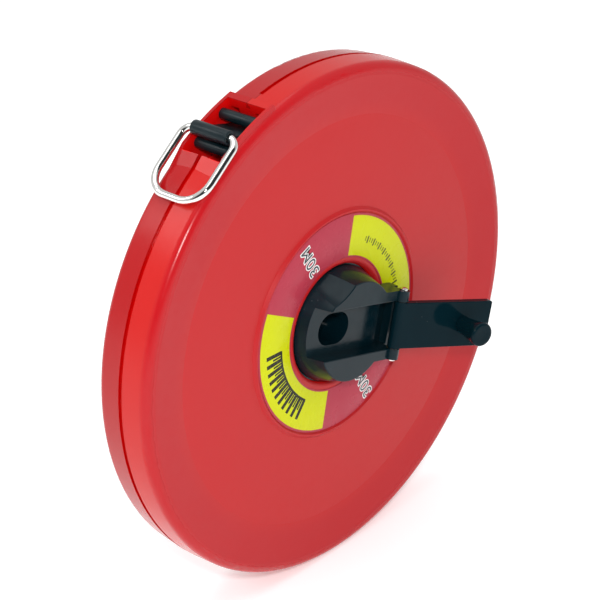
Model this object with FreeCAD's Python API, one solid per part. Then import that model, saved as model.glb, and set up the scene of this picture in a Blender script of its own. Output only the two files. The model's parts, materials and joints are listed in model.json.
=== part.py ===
import FreeCAD, Part
import math
import os

# Closed-case surveyor's tape reel. Millimetres.
# X runs across the case, Z is up with the case standing on its rim, and the reel's axis is Y.
# The back face lies in Y = 0 and the front face looks towards -Y.
# "front" below is a distance forward of the joint between the two case halves.

# ---- case ----
CASE_RADIUS = 77.5
CASE_DEPTH = 18.4
HALF_DEPTH = CASE_DEPTH / 2
RIM_WALL = 2.2
RIM_DRAFT = 0.45
RIM_FILLET = 2.4
FACE_WALL = 1.1
FACE_DISH = 1.8
LAND_INNER_RADIUS = 73.5
DISH_RADIUS = 62.0
RIM_CAVITY_HALF = 7.0
SEAM_WIDTH = 1.3
SEAM_DEPTH = 0.8
LIP_WALL = 1.15
LIP_HEIGHT = 1.8
LIP_GAP = 0.25
BACK_BOSS_RADIUS = 22.0
HUB_OPENING_RADIUS = 18.0

# ---- label and its raised border ----
BEAD_OUTER_RADIUS = 35.2
BEAD_HEIGHT = 0.8
LABEL_OUTER_RADIUS = 33.3
LABEL_INNER_RADIUS = 20.2
LABEL_THICKNESS = 0.18
LABEL_SEAT_RISE = 0.2

# ---- mouth, its raised frame and the two guide rollers ----
MOUTH_TOP_DEG = 111.3
MOUTH_BOTTOM_DEG = 125.9
MOUTH_HALF_WIDTH = 6.9
FRAME_RADIUS = CASE_RADIUS + 0.8
FRAME_HALF_WIDTH = 8.0
FRAME_TOP_DEG = 109.7
SEAM_STOP_DEG = 107.3
RAMP_MID_DEG = 128.7
RAMP_SIDE_DEG = 127.5
ROLLER_RADIUS = 1.6
ROLLER_HALF_LENGTH = 6.7
ROLLER_BORE = 0.86
ROLLER_PIN_RADIUS = 0.8
ROLLER_PIN_HALF = 8.3
ROLLERS = {"upper": (75.6, 114.0), "lower": (75.2, 122.2)}

# ---- case screws ----
SCREW_CIRCLE = 67.5
SCREW_ANGLES = (45.0, 165.0, 225.0, 315.0)
SCREW_BOSS_RADIUS = 4.0
SCREW_HEAD_RADIUS = 2.8
SCREW_HEAD_SEAT = -4.5
SCREW_SHANK_RADIUS = 1.45

# ---- reel ----
BLADE_WIDTH = 12.0
AXLE_RADIUS = 6.0
RUNNING_GAP = 0.05
DRUM_RADIUS = 24.5
DRUM_INNER_RADIUS = 22.2
DRUM_WEB_BACK = -0.2
DRUM_WEB_FRONT = 1.0
SLEEVE_WALL = 2.6
PACK_RADIUS = 57.5
WASHER_THICKNESS = 0.5
ANCHOR_RADIUS = 0.85
ANCHOR_DEG = 200.0

# ---- crank hub ----
CRANK_DEG = -13.5
HUB_FOOT_RADIUS = 17.6
HUB_FOOT = 7.0
HUB_RADIUS = 15.0
HUB_TOP = 15.3
HUB_EDGE = 0.35
HUB_FLANGE_RADIUS = 20.5
CHANNEL_HALF_WIDTH = 7.4
CHANNEL_FLOOR = 10.3
CHANNEL_END = 15.0
POCKET_FLOOR = 8.9
POCKET_END = 19.6
LEDGE_REACH = 20.6
LEDGE_UNDERSIDE = 8.2
LEDGE_TOP = 11.5
WELL_CENTRE = -5.0
WELL_HALF_LENGTH = 6.6
WELL_HALF_WIDTH = 4.85
WELL_FLOOR = 2.4
HINGE_REACH = 18.6
HINGE_HEIGHT = 15.2
LUG_RADIUS = 2.0
LUG_OUTER = 10.6
SCOOP_DEG = 126.0
SCOOP_RADIUS = 20.0
SCOOP_BITE = 1.4
SCOOP_TILT_DEG = 22.5
SCOOP_FLOOR = 6.6
HUB_SCREW_POINTS = ((9.5, 8.0), (9.5, -8.0), (-9.5, 8.0), (-9.5, -8.0))

# ---- crank arm, knob and their pins ----
ARM_OPEN_DEG = 16.4
ARM_LENGTH = 33.1
ARM_HALF_WIDTH = 7.1
ARM_FACE = 1.9
ARM_BACK = -0.7
ARM_CORNER = 0.6
ARM_EDGE = 0.25
KNUCKLE_RADIUS = ARM_FACE
HINGE_PIN_RADIUS = 1.25
HINGE_PIN_HALF = 11.5
KNOB_REACH = 22.9
KNOB_LENGTH = 10.1
KNOB_BASE_RADIUS = 2.65
KNOB_TIP_RADIUS = 3.7
KNOB_EDGE = 0.8
KNOB_GAP = 0.15
RIVET_RADIUS = 1.25
RIVET_LENGTH = 7.5

# ---- tape end ----
END_BAR = (79.8, 121.2)
LEADER_THICKNESS = 0.6
BLADE_THICKNESS = 0.4
PACK_CLEARANCE = 0.25
LEADER_LENGTH = 24.0
BLADE_START = 54.0
BLADE_OVERLAP = 10.0
TUBE_RADIUS = 2.0
TUBE_HALF_LENGTH = 6.45

# ---- end ring ----
WIRE_RADIUS = 1.1
RING_HALF_WIDTH = 9.4
RING_LENGTH = 20.2
RING_NEAR_BEND = 3.2
RING_FAR_BEND = 6.8
RING_REST_RADIUS = CASE_RADIUS + WIRE_RADIUS + 0.4

FACE_FRONT = HALF_DEPTH - FACE_DISH
CAVITY_HALF = FACE_FRONT - FACE_WALL
RIM_INNER_RADIUS = CASE_RADIUS - RIM_WALL
REEL_HALF = BLADE_WIDTH / 2

AXIS_Y = FreeCAD.Vector(0, 1, 0)
ORIGIN = FreeCAD.Vector(0, 0, 0)


def y_of(front):
    """Row Y of a plane that lies a distance forward of the case joint."""
    return -HALF_DEPTH - front


def point(radius, degrees, front):
    """A point from its distance to the reel's axis, its angle from +X towards +Z, and front."""
    angle = math.radians(degrees)
    return FreeCAD.Vector(radius * math.cos(angle), y_of(front), radius * math.sin(angle))


def turned(outline, start=0.0, sweep=360.0):
    """Revolve a closed outline of (radius, front) points about the reel's axis.

    A point given as a pair of points is an arc's middle and end. Angles run from +X towards +Z.
    """
    def place(spot):
        return FreeCAD.Vector(spot[0], y_of(spot[1]), 0)

    edges = []
    here = place(outline[0])
    for item in outline[1:] + outline[:1]:
        if isinstance(item[0], tuple):
            edges.append(Part.Arc(here, place(item[0]), place(item[1])).toShape())
            here = place(item[1])
        else:
            edges.append(Part.LineSegment(here, place(item)).toShape())
            here = place(item)
    face = Part.Face(Part.Wire(edges))
    face.rotate(ORIGIN, AXIS_Y, -start)
    return face.revolve(ORIGIN, AXIS_Y, -sweep)


def ring(outer, inner, back, front):
    """A plain disc, or a ring when inner is not zero, about the reel's axis."""
    return turned([(inner, back), (outer, back), (outer, front), (inner, front)])


def rod(base, radius, length):
    """A round bar that runs towards the front from its base point."""
    return Part.makeCylinder(radius, length, base, -AXIS_Y)


def fuse_all(shapes):
    """Join touching or overlapping shapes into one clean solid."""
    return shapes[0].multiFuse(shapes[1:]).removeSplitter()


def frame_placement(origin, along, outward):
    """Placement that takes local X to `along`, local Z to `outward` and local Y across them."""
    across = outward.cross(along)
    rotation = FreeCAD.Rotation(along, across, outward, "ZXY")
    return FreeCAD.Placement(origin, rotation)


def block(x, y, z):
    """A box from its (low, high) span on each axis."""
    corner = FreeCAD.Vector(x[0], y[0], z[0])
    return Part.makeBox(x[1] - x[0], y[1] - y[0], z[1] - z[0], corner)


def prism(points, offset, depth):
    """A closed polygon pushed along a vector, starting from an offset vector."""
    moved = [spot + offset for spot in points]
    return Part.Face(Part.makePolygon(moved + moved[:1])).extrude(depth)


# ---------------------------------------------------------------- case halves

def shell_outline(side, centre):
    """Half of the case in section. side is 1 for the front half and -1 for the back half."""
    corner_radius = CASE_RADIUS - RIM_DRAFT - RIM_FILLET
    corner_front = HALF_DEPTH - RIM_FILLET
    slope = RIM_FILLET * math.sqrt(0.5)
    outline = [
        (CASE_RADIUS, 0),
        (corner_radius + RIM_FILLET, corner_front),
        ((corner_radius + slope, corner_front + slope), (corner_radius, HALF_DEPTH)),
        (LAND_INNER_RADIUS, HALF_DEPTH),
        (DISH_RADIUS, FACE_FRONT),
    ]
    outline += centre
    outline += [
        (DISH_RADIUS + 5.0, CAVITY_HALF),
        (DISH_RADIUS + 8.0, RIM_CAVITY_HALF),
        (RIM_INNER_RADIUS, RIM_CAVITY_HALF),
        (RIM_INNER_RADIUS, 0),
    ]

    def flip(item):
        if isinstance(item[0], tuple):
            return (flip(item[0]), flip(item[1]))
        return (item[0], side * item[1])

    return [flip(item) for item in outline]


def screw_points():
    return [(SCREW_CIRCLE, degrees) for degrees in SCREW_ANGLES]


def frame_block():
    """Raised frame round the mouth, on both halves, with its ramp down to the rim."""
    pad = turned(
        [(RIM_INNER_RADIUS, -FRAME_HALF_WIDTH), (FRAME_RADIUS, -FRAME_HALF_WIDTH),
         (FRAME_RADIUS, FRAME_HALF_WIDTH), (RIM_INNER_RADIUS, FRAME_HALF_WIDTH)],
        FRAME_TOP_DEG, RAMP_MID_DEG + 1.5 - FRAME_TOP_DEG)
    for side in (1, -1):
        crest = point(FRAME_RADIUS, MOUTH_BOTTOM_DEG, 0)
        foot = point(CASE_RADIUS, RAMP_MID_DEG, 0)
        side_foot = point(CASE_RADIUS - 0.1, RAMP_SIDE_DEG, side * FRAME_HALF_WIDTH)
        down = foot - crest
        over = side_foot - foot
        lift = point(6.0, MOUTH_BOTTOM_DEG, 0) - point(0, 0, 0)
        triangle = [crest - down * 0.02, foot + down, foot + down + lift, crest + lift]
        pad = pad.cut(prism(triangle, over * -0.001, over * 1.4))
    return pad


def mouth_cut():
    """The slot through the rim, from the cavity to clear air."""
    return turned(
        [(DISH_RADIUS + 6.0, -MOUTH_HALF_WIDTH), (CASE_RADIUS + 4.0, -MOUTH_HALF_WIDTH),
         (CASE_RADIUS + 4.0, MOUTH_HALF_WIDTH), (DISH_RADIUS + 6.0, MOUTH_HALF_WIDTH)],
        MOUTH_TOP_DEG, MOUTH_BOTTOM_DEG - MOUTH_TOP_DEG)


def seam_cut():
    """The groove along the joint, from the mouth's lower edge round to just above its frame."""
    start = MOUTH_BOTTOM_DEG - 1.0
    half = SEAM_WIDTH / 2
    return turned(
        [(CASE_RADIUS - SEAM_DEPTH, -half), (CASE_RADIUS + 4.0, -half),
         (CASE_RADIUS + 4.0, half), (CASE_RADIUS - SEAM_DEPTH, half)],
        start, 360.0 + SEAM_STOP_DEG - start)


def half_space(side):
    """Everything on one side of the joint plane."""
    span = (-100.0, 100.0)
    low, high = sorted((y_of(0), y_of(side * 30.0)))
    return block(span, (low, high), span)


def roller_pin_holes():
    depth = ROLLER_PIN_HALF + 0.1
    holes = [rod(point(radius, degrees, -depth), ROLLER_PIN_RADIUS + 0.02, 2 * depth)
             for radius, degrees in ROLLERS.values()]
    return holes[0].fuse(holes[1])


def finish_half(body, side):
    """Add the mouth frame to one case half, then open the mouth, seam and roller pin holes."""
    body = fuse_all([body, frame_block().common(half_space(side))])
    for tool in (mouth_cut(), seam_cut(), roller_pin_holes()):
        body = body.cut(tool)
    return body.removeSplitter()


def front_shell():
    seat = FACE_FRONT + LABEL_SEAT_RISE
    centre = [
        (BEAD_OUTER_RADIUS, FACE_FRONT),
        (BEAD_OUTER_RADIUS - 0.8, FACE_FRONT + BEAD_HEIGHT),
        (BEAD_OUTER_RADIUS - 1.3, FACE_FRONT + BEAD_HEIGHT),
        (LABEL_OUTER_RADIUS + 0.1, seat),
        (HUB_OPENING_RADIUS + 1.4, seat),
        ((HUB_OPENING_RADIUS + 0.41, seat - 0.41), (HUB_OPENING_RADIUS, seat - 1.4)),
        (HUB_OPENING_RADIUS, CAVITY_HALF),
    ]
    body = turned(shell_outline(1, centre))
    bosses = [rod(point(radius, degrees, 0), SCREW_BOSS_RADIUS, RIM_CAVITY_HALF)
              for radius, degrees in screw_points()]
    body = fuse_all([body] + bosses)
    for radius, degrees in screw_points():
        body = body.cut(rod(point(radius, degrees, 0), SCREW_SHANK_RADIUS + 0.05, 5.4))
    return finish_half(body, 1)


def rear_shell():
    centre = [
        (BACK_BOSS_RADIUS + 0.8, FACE_FRONT),
        (BACK_BOSS_RADIUS, HALF_DEPTH),
        (0, HALF_DEPTH),
        (0, CAVITY_HALF),
    ]
    body = turned(shell_outline(-1, centre))
    lip_outer = RIM_INNER_RADIUS - LIP_GAP
    lip = ring(lip_outer, lip_outer - LIP_WALL, -2.0, LIP_HEIGHT)
    lip_root = ring(RIM_INNER_RADIUS, lip_outer - LIP_WALL, -4.0, -0.4)
    axle = ring(AXLE_RADIUS, 0, -CAVITY_HALF, DRUM_WEB_BACK - 0.4)
    bosses = [rod(point(radius, degrees, -RIM_CAVITY_HALF), SCREW_BOSS_RADIUS, RIM_CAVITY_HALF)
              for radius, degrees in screw_points()]
    body = fuse_all([body, lip, lip_root, axle] + bosses)
    for radius, degrees in screw_points():
        base = point(radius, degrees, -HALF_DEPTH - 1.0)
        body = body.cut(rod(base, SCREW_HEAD_RADIUS + 0.3, HALF_DEPTH + 1.0 + SCREW_HEAD_SEAT))
        body = body.cut(rod(base, SCREW_SHANK_RADIUS + 0.1, 2 * HALF_DEPTH))
    return finish_half(body, -1)


def cross_slot(base, reach, width, depth):
    """A cross-shaped driver recess, sunk towards the front from its base point."""
    x, y, z = base.x, base.y, base.z
    slot = block((x - reach, x + reach), (y - depth, y + 1), (z - width, z + width))
    return slot.fuse(block((x - width, x + width), (y - depth, y + 1), (z - reach, z + reach)))


def case_screws():
    """Four cross-head screws, driven from the back."""
    screws = []
    for radius, degrees in screw_points():
        base = point(radius, degrees, SCREW_HEAD_SEAT - 1.8)
        head = rod(base, SCREW_HEAD_RADIUS, 1.8)
        shank = rod(base, SCREW_SHANK_RADIUS, 11.0)
        screws.append(head.fuse(shank).removeSplitter().cut(cross_slot(base, 1.6, 0.4, 1.0)))
    return Part.makeCompound(screws)


def front_label():
    seat = FACE_FRONT + LABEL_SEAT_RISE
    return ring(LABEL_OUTER_RADIUS, LABEL_INNER_RADIUS, seat, seat + LABEL_THICKNESS)


def guide_roller(name):
    radius, degrees = ROLLERS[name]
    base = point(radius, degrees, -ROLLER_HALF_LENGTH)
    body = rod(base, ROLLER_RADIUS, 2 * ROLLER_HALF_LENGTH)
    return body.cut(rod(base, ROLLER_BORE, 2 * ROLLER_HALF_LENGTH))


def guide_roller_pin(name):
    radius, degrees = ROLLERS[name]
    return rod(point(radius, degrees, -ROLLER_PIN_HALF), ROLLER_PIN_RADIUS, 2 * ROLLER_PIN_HALF)


# ---------------------------------------------------------------- reel

def spool_drum():
    """Drum with a web, a bearing sleeve on the case's axle boss, and six ribs between them."""
    sleeve_bore = AXLE_RADIUS + RUNNING_GAP
    sleeve_end = -CAVITY_HALF + WASHER_THICKNESS + 0.2
    sleeve = ring(sleeve_bore + SLEEVE_WALL, sleeve_bore, sleeve_end, DRUM_WEB_BACK)
    wall = ring(DRUM_RADIUS, DRUM_INNER_RADIUS, -REEL_HALF, REEL_HALF)
    web = ring(DRUM_INNER_RADIUS + 0.5, 0, DRUM_WEB_BACK, DRUM_WEB_FRONT)
    pieces = [sleeve, wall, web]
    span = (sleeve_bore + SLEEVE_WALL - 0.5, DRUM_INNER_RADIUS + 0.5)
    for turn in range(6):
        rib = block(span, (y_of(DRUM_WEB_BACK), y_of(sleeve_end)), (-0.8, 0.8))
        rib.rotate(ORIGIN, AXIS_Y, -(CRANK_DEG + 60.0 * turn))
        pieces.append(rib)
    body = fuse_all(pieces)
    for hole in hub_screw_rods(SCREW_HOLE, DRUM_WEB_BACK - 1.0, 3.0):
        body = body.cut(hole)
    return body.cut(anchor_rod(ANCHOR_RADIUS + 0.03))


def anchor_rod(radius):
    """The bar in the drum wall that the inner end of the blade is looped round."""
    middle = (DRUM_RADIUS + DRUM_INNER_RADIUS) / 2
    return rod(point(middle, ANCHOR_DEG, -REEL_HALF), radius, 2 * REEL_HALF)


def tape_pack():
    return ring(PACK_RADIUS, DRUM_RADIUS, -REEL_HALF, REEL_HALF)


def drum_washer():
    inner = AXLE_RADIUS + 0.3
    return ring(inner + 3.0, inner, -CAVITY_HALF, -CAVITY_HALF + WASHER_THICKNESS)


# ---------------------------------------------------------------- crank

CRANK_ANGLE = math.radians(CRANK_DEG)
ALONG = FreeCAD.Vector(math.cos(CRANK_ANGLE), 0, math.sin(CRANK_ANGLE))
OUTWARD = FreeCAD.Vector(0, -1, 0)
SCREW_HOLE = 1.35

# Hub space: local X along the crank, local Z outward from the case joint, Y across.
HUB_PLACE = frame_placement(FreeCAD.Vector(0, y_of(0), 0), ALONG, OUTWARD)

OPEN_ANGLE = math.radians(ARM_OPEN_DEG)
ARM_ALONG = ALONG * math.cos(OPEN_ANGLE) + OUTWARD * math.sin(OPEN_ANGLE)
ARM_OUTWARD = OUTWARD * math.cos(OPEN_ANGLE) - ALONG * math.sin(OPEN_ANGLE)
HINGE_POINT = FreeCAD.Vector(0, y_of(HINGE_HEIGHT), 0) + ALONG * HINGE_REACH

# Arm space: local X from the hinge to the arm's tip, local Z out of its knob face.
ARM_PLACE = frame_placement(HINGE_POINT, ARM_ALONG, ARM_OUTWARD)


def seated(shape, place):
    """The same shape, moved from its local space to the row frame."""
    moved = shape.copy()
    moved.Placement = place.multiply(moved.Placement)
    return moved


def cross_bar(radius, low, high, x=0.0, z=0.0):
    """A round bar along local Y."""
    return Part.makeCylinder(radius, high - low, FreeCAD.Vector(x, low, z), AXIS_Y)


def upright(radius, low, high, x=0.0, y=0.0):
    """A round bar along local Z."""
    return Part.makeCylinder(radius, high - low, FreeCAD.Vector(x, y, low))


def hub_screw_rods(radius, low, length):
    return [seated(upright(radius, low, low + length, x, y), HUB_PLACE)
            for x, y in HUB_SCREW_POINTS]


def hub_blank():
    """The hub before its cuts: a tapered body, its flange, and the blocks that carry the hinge."""
    body = upright(HUB_FOOT_RADIUS, DRUM_WEB_FRONT, HUB_FOOT)
    taper = Part.makeCone(HUB_FOOT_RADIUS, HUB_RADIUS, HUB_TOP - HUB_FOOT,
                          FreeCAD.Vector(0, 0, HUB_FOOT))
    flange = upright(HUB_FLANGE_RADIUS, 4.1, CAVITY_HALF - 0.4)
    pieces = [body, taper, flange]
    outer = (-LUG_OUTER, LUG_OUTER)
    pieces.append(block((8.0, LEDGE_REACH), outer, (LEDGE_UNDERSIDE, LEDGE_TOP)))
    pieces.append(block((8.0, HINGE_REACH), outer, (LEDGE_UNDERSIDE, HUB_TOP)))
    pieces.append(cross_bar(LUG_RADIUS, -LUG_OUTER, LUG_OUTER, HINGE_REACH, HINGE_HEIGHT))
    return fuse_all(pieces)


def knob_well():
    """A long hole with round ends, for the knob of the folded arm."""
    spread = WELL_HALF_LENGTH - WELL_HALF_WIDTH
    ends = [upright(WELL_HALF_WIDTH, WELL_FLOOR, 20.0, WELL_CENTRE + side * spread)
            for side in (-1, 1)]
    middle = block((WELL_CENTRE - spread, WELL_CENTRE + spread),
                   (-WELL_HALF_WIDTH, WELL_HALF_WIDTH), (WELL_FLOOR, 20.0))
    return fuse_all(ends + [middle])


def finger_scoop():
    """A shallow hollow beside the channel that leans outward towards its foot."""
    angle = math.radians(SCOOP_DEG)
    tilt = math.radians(SCOOP_TILT_DEG)
    reach = HUB_RADIUS - SCOOP_BITE + SCOOP_RADIUS / math.cos(tilt)
    away = FreeCAD.Vector(math.cos(angle), math.sin(angle), 0)
    rise = FreeCAD.Vector(0, 0, math.cos(tilt)) - away * math.sin(tilt)
    base = away * reach + FreeCAD.Vector(0, 0, HUB_TOP) - rise * 30.0
    cutter = Part.makeCylinder(SCOOP_RADIUS, 50.0, base, rise)
    span = (-100.0, 100.0)
    return cutter.common(block(span, span, (SCOOP_FLOOR, 30.0)))


def crank_hub():
    """Hub with a flange behind the case opening, a channel for the arm and two hinge lugs."""
    channel = (-CHANNEL_HALF_WIDTH, CHANNEL_HALF_WIDTH)
    hub = hub_blank()
    hub = hub.cut(block((-30.0, CHANNEL_END + 0.1), channel, (CHANNEL_FLOOR, 30.0)))
    hub = hub.cut(block((CHANNEL_END, POCKET_END), channel, (POCKET_FLOOR, 30.0)))
    hub = hub.cut(block((CHANNEL_END, 30.0), channel, (LEDGE_TOP, 30.0)))
    hub = hub.cut(finger_scoop())
    top = [edge for edge in hub.Edges if edge.BoundBox.ZMin > HUB_TOP - 0.01
           and edge.BoundBox.XMax < HINGE_REACH - LUG_RADIUS]
    hub = hub.makeFillet(HUB_EDGE, top)
    hub = hub.cut(knob_well())
    hub = hub.cut(cross_bar(HINGE_PIN_RADIUS + 0.02, -20.0, 20.0, HINGE_REACH, HINGE_HEIGHT))
    hub = seated(hub, HUB_PLACE)
    for hole in hub_screw_rods(SCREW_HOLE, 0.0, 8.0):
        hub = hub.cut(hole)
    return hub


def hub_screws():
    """Four screws from behind the drum's web into the hub."""
    heads = hub_screw_rods(2.3, DRUM_WEB_BACK - 1.5, 1.5)
    shanks = hub_screw_rods(SCREW_HOLE - 0.1, DRUM_WEB_BACK - 1.5, 9.0)
    return Part.makeCompound([head.fuse(shank).removeSplitter()
                              for head, shank in zip(heads, shanks)])


def crank_hinge_pin():
    pin = cross_bar(HINGE_PIN_RADIUS, -HINGE_PIN_HALF, HINGE_PIN_HALF, HINGE_REACH, HINGE_HEIGHT)
    pin = pin.makeFillet(0.4, [edge for edge in pin.Edges if edge.Closed])
    return seated(pin, HUB_PLACE)


def crank_arm():
    """Flat arm with a knuckle at the hinge and rounded corners at the tip."""
    width = (-ARM_HALF_WIDTH, ARM_HALF_WIDTH)
    plate = block((0.0, ARM_LENGTH), width, (ARM_BACK, ARM_FACE))
    corners = [edge for edge in plate.Edges
               if abs(edge.BoundBox.XMin - ARM_LENGTH) < 0.01 and edge.BoundBox.YLength < 0.01]
    plate = plate.makeFillet(ARM_CORNER, corners)
    rims = [edge for edge in plate.Edges
            if edge.BoundBox.ZLength < 0.01 and edge.BoundBox.XMax > 0.01]
    plate = plate.makeFillet(ARM_EDGE, rims)
    knuckle = cross_bar(KNUCKLE_RADIUS, -ARM_HALF_WIDTH, ARM_HALF_WIDTH)
    arm = fuse_all([plate, knuckle])
    arm = arm.cut(cross_bar(HINGE_PIN_RADIUS + RUNNING_GAP, -20.0, 20.0))
    arm = arm.cut(upright(RIVET_RADIUS + 0.02, -5.0, 5.0, KNOB_REACH))
    return seated(arm, ARM_PLACE)


def crank_knob():
    """Turned knob that flares from a narrow foot to a wide tip, with a blind bore for its rivet."""
    foot = ARM_FACE + KNOB_GAP
    tip = ARM_FACE + KNOB_LENGTH
    bore = RIVET_RADIUS + RUNNING_GAP
    waist = (KNOB_BASE_RADIUS + KNOB_TIP_RADIUS) / 2 - 0.2
    edge = KNOB_EDGE * (1 - math.sqrt(0.5))
    profile = [
        (bore, foot),
        (KNOB_BASE_RADIUS - 0.2, foot),
        (KNOB_BASE_RADIUS, foot + 0.2),
        ((waist, (foot + tip) / 2), (KNOB_TIP_RADIUS, tip - KNOB_EDGE)),
        ((KNOB_TIP_RADIUS - edge, tip - edge), (KNOB_TIP_RADIUS - KNOB_EDGE, tip)),
        (0, tip),
        (0, ARM_FACE + RIVET_LENGTH + 0.2),
        (bore, ARM_FACE + RIVET_LENGTH + 0.2),
    ]
    return spun(profile)


def spun(profile):
    """Revolve a closed (radius, height) profile about the knob's own axis on the arm."""
    edges = []
    here = FreeCAD.Vector(profile[0][0], 0, profile[0][1])
    for item in profile[1:] + profile[:1]:
        if isinstance(item[0], tuple):
            middle = FreeCAD.Vector(item[0][0], 0, item[0][1])
            end = FreeCAD.Vector(item[1][0], 0, item[1][1])
            edges.append(Part.Arc(here, middle, end).toShape())
        else:
            end = FreeCAD.Vector(item[0], 0, item[1])
            edges.append(Part.LineSegment(here, end).toShape())
        here = end
    solid = Part.Face(Part.Wire(edges)).revolve(ORIGIN, FreeCAD.Vector(0, 0, 1), 360)
    solid.translate(FreeCAD.Vector(KNOB_REACH, 0, 0))
    return seated(solid, ARM_PLACE)


def knob_rivet():
    """Rivet that the knob turns on: a low head behind the arm and a shank in the knob's bore."""
    head = RIVET_RADIUS + 0.9
    tip = ARM_FACE + RIVET_LENGTH
    return spun([
        (0, ARM_BACK - 0.7),
        (head - 0.4, ARM_BACK - 0.7),
        (head, ARM_BACK),
        (RIVET_RADIUS, ARM_BACK),
        (RIVET_RADIUS, tip - 0.3),
        (RIVET_RADIUS - 0.3, tip),
        (0, tip),
    ])


# ---------------------------------------------------------------- tape end

BAR_RADIUS, BAR_DEG = END_BAR
LEADER_LINE = PACK_RADIUS + PACK_CLEARANCE + BLADE_THICKNESS + LEADER_THICKNESS / 2
LEAVE_DEG = BAR_DEG - math.degrees(math.acos(LEADER_LINE / BAR_RADIUS))
LEAVE_ANGLE = math.radians(LEAVE_DEG)
PULL = FreeCAD.Vector(-math.sin(LEAVE_ANGLE), 0, math.cos(LEAVE_ANGLE))
LIFT = FreeCAD.Vector(math.cos(LEAVE_ANGLE), 0, math.sin(LEAVE_ANGLE))
BAR_CENTRE = point(BAR_RADIUS, BAR_DEG, 0)

# Blade space: local X out of the mouth, local Z away from the reel, origin on the end bar.
BLADE_PLACE = frame_placement(BAR_CENTRE, PULL, LIFT)
RIVET_SPOTS = ((-17.0, 3.0), (-17.0, -3.0), (-21.0, 0.0))


def tape_blade():
    """The straight run of blade from the wound pack to the leader."""
    end = -LEADER_LENGTH + BLADE_OVERLAP
    top = -LEADER_THICKNESS / 2
    strip = block((-BLADE_START, end), (-REEL_HALF, REEL_HALF), (top - BLADE_THICKNESS, top))
    for x, y in RIVET_SPOTS:
        strip = strip.cut(upright(0.62, -5.0, 5.0, x, y))
    return seated(strip, BLADE_PLACE)


def tape_leader():
    """Stiff strip that carries the end sleeve and overlaps the blade."""
    half = LEADER_THICKNESS / 2
    strip = block((-LEADER_LENGTH, 0.0), (-REEL_HALF, REEL_HALF), (-half, half))
    strip = strip.cut(cross_bar(TUBE_RADIUS, -20.0, 20.0))
    for x, y in RIVET_SPOTS:
        strip = strip.cut(upright(0.62, -5.0, 5.0, x, y))
    return seated(strip, BLADE_PLACE)


def leader_rivets():
    top = LEADER_THICKNESS / 2
    bottom = -top - BLADE_THICKNESS
    rivets = []
    for x, y in RIVET_SPOTS:
        shank = upright(0.6, bottom - 0.25, top + 0.25, x, y)
        upper = upright(1.2, top, top + 0.25, x, y)
        lower = upright(1.2, bottom - 0.25, bottom, x, y)
        rivets.append(seated(fuse_all([shank, upper, lower]), BLADE_PLACE))
    return Part.makeCompound(rivets)


def tape_end_sleeve():
    tube = cross_bar(TUBE_RADIUS, -TUBE_HALF_LENGTH, TUBE_HALF_LENGTH)
    tube = tube.cut(cross_bar(WIRE_RADIUS + RUNNING_GAP, -20.0, 20.0))
    return seated(tube, BLADE_PLACE)


def end_ring():
    """Rounded wire ring. One short side runs through the end sleeve, the other lies on the rim."""
    numerator = RING_REST_RADIUS ** 2 - BAR_RADIUS ** 2 - RING_LENGTH ** 2
    turn = math.degrees(math.acos(numerator / (2 * BAR_RADIUS * RING_LENGTH)))
    hang_deg = BAR_DEG + turn
    hang = point(1.0, hang_deg, 0) - point(0, 0, 0)
    near, far = RING_NEAR_BEND, RING_FAR_BEND
    half, end = RING_HALF_WIDTH, RING_LENGTH

    def spot(down, front):
        return BAR_CENTRE + hang * down + FreeCAD.Vector(0, -front, 0)

    def bend(start, corner, finish, radius):
        inner = start + (finish - corner)
        middle = inner + (corner - inner) * (radius / (corner - inner).Length)
        return Part.Arc(start, middle, finish).toShape()

    corners = [(0, half, near), (end, half, far), (end, -half, far), (0, -half, near)]
    walk = []
    for down, front, radius in corners:
        down_in = radius if down == 0 else -radius
        front_in = -radius if front > 0 else radius
        walk.append((spot(down, front + front_in), spot(down, front), spot(down + down_in, front),
                     radius))
    edges = [
        bend(*walk[0]),
        Part.LineSegment(walk[0][2], walk[1][2]).toShape(),
        bend(walk[1][2], walk[1][1], walk[1][0], far),
        Part.LineSegment(walk[1][0], walk[2][0]).toShape(),
        bend(*walk[2]),
        Part.LineSegment(walk[2][2], walk[3][2]).toShape(),
        bend(walk[3][2], walk[3][1], walk[3][0], near),
        Part.LineSegment(walk[3][0], BAR_CENTRE).toShape(),
        Part.LineSegment(BAR_CENTRE, walk[0][0]).toShape(),
    ]
    path = Part.Wire(Part.__sortEdges__(edges))
    circle = Part.Wire(Part.makeCircle(WIRE_RADIUS, BAR_CENTRE, AXIS_Y))
    return path.makePipeShell([circle], True, False)


NODES = {
    "front_shell": front_shell,
    "rear_shell": rear_shell,
    "case_screws": case_screws,
    "front_label": front_label,
    "spool_drum": spool_drum,
    "tape_pack": tape_pack,
    "tape_anchor_pin": lambda: anchor_rod(ANCHOR_RADIUS),
    "drum_washer": drum_washer,
    "crank_hub": crank_hub,
    "hub_screws": hub_screws,
    "crank_hinge_pin": crank_hinge_pin,
    "crank_arm": crank_arm,
    "crank_knob": crank_knob,
    "knob_rivet": knob_rivet,
    "tape_blade": tape_blade,
    "tape_leader": tape_leader,
    "leader_rivets": leader_rivets,
    "tape_end_sleeve": tape_end_sleeve,
    "end_ring": end_ring,
}
for roller_name in ROLLERS:
    NODES["mouth_roller_" + roller_name] = lambda name=roller_name: guide_roller(name)
    NODES["roller_pin_" + roller_name] = lambda name=roller_name: guide_roller_pin(name)

os.makedirs("parts", exist_ok=True)
for node, make in NODES.items():
    shape = make()
    shape.exportStep("parts/" + node + ".step")
    print(node, "solids", len(shape.Solids), "valid", shape.isValid(), "volume", round(shape.Volume, 2))
print("hinge point", HINGE_POINT, "pull", PULL, "bar", BAR_CENTRE)
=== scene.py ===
import json
import math

import bmesh
import bpy
from mathutils import Matrix, Vector


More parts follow.
